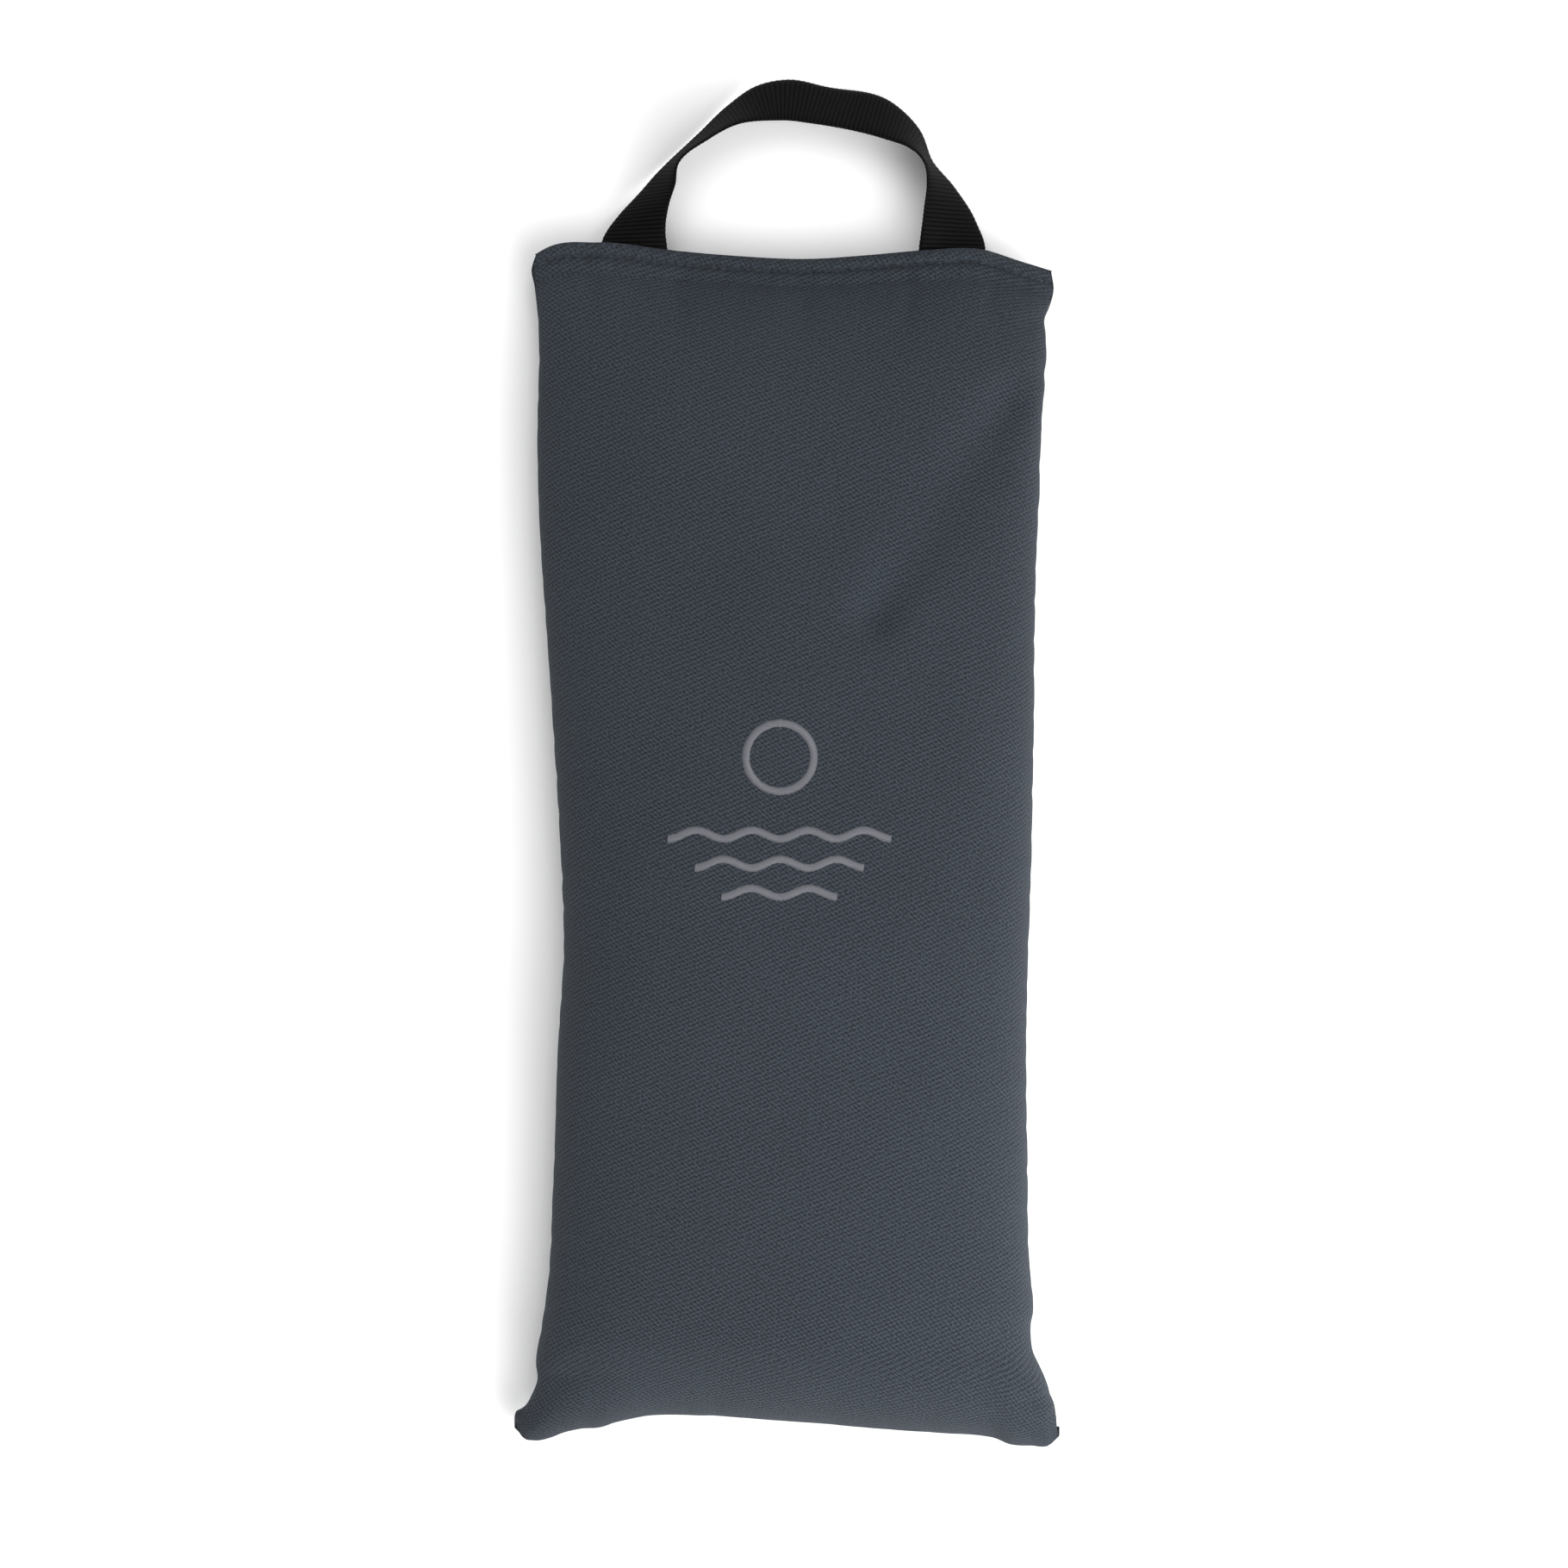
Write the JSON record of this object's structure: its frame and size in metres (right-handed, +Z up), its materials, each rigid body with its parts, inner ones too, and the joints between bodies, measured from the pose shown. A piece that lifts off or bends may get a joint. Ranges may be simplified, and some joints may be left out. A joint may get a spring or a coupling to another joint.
{
  "type": "sandbag",
  "caption": "Pillow-shaped weight bag in cotton twill, filled with sand in a sewn liner, with a webbing carrying handle at one end.",
  "frame": {"origin": "middle of the footprint, on the surface that the bag lies on", "axes": "+X across the bag, +Y along it towards the handle, +Z up from the back panel to the front panel"},
  "size_m": [0.201, 0.5034, 0.0489],
  "materials": {
    "cotton_twill": "matte",
    "sewing_thread": "satin",
    "webbing": "satin",
    "liner_cloth": "matte",
    "liner_thread": "matte",
    "sand": "matte",
    "embroidery_thread": "satin",
    "backing_sheet": "matte"
  },
  "bodies": {
    "bag": {"cover_front_panel": "cotton_twill", "cover_back_panel": "cotton_twill", "side_seam_thread_left": "sewing_thread", "side_seam_thread_right": "sewing_thread", "bottom_seam_thread": "sewing_thread", "topstitch_needle_thread": "sewing_thread", "topstitch_bobbin_thread": "sewing_thread", "handle_end_left": "webbing", "handle_end_right": "webbing", "liner_front_sheet": "liner_cloth", "liner_back_sheet": "liner_cloth", "liner_seam_thread": "liner_thread", "liner_closing_stitches": "liner_thread", "sand_fill": "sand", "embroidery_stitches": "embroidery_thread", "embroidery_backing": "backing_sheet"},
    "handle": {"handle_webbing": "webbing"}
  },
  "joints": [
    {"name": "handle_swing", "type": "hinge", "parent": "bag", "child": "handle", "pos_m": [0, 0.19525, 0.013], "axis": [1, 0, 0], "range_deg": [0, 110]}
  ]
}
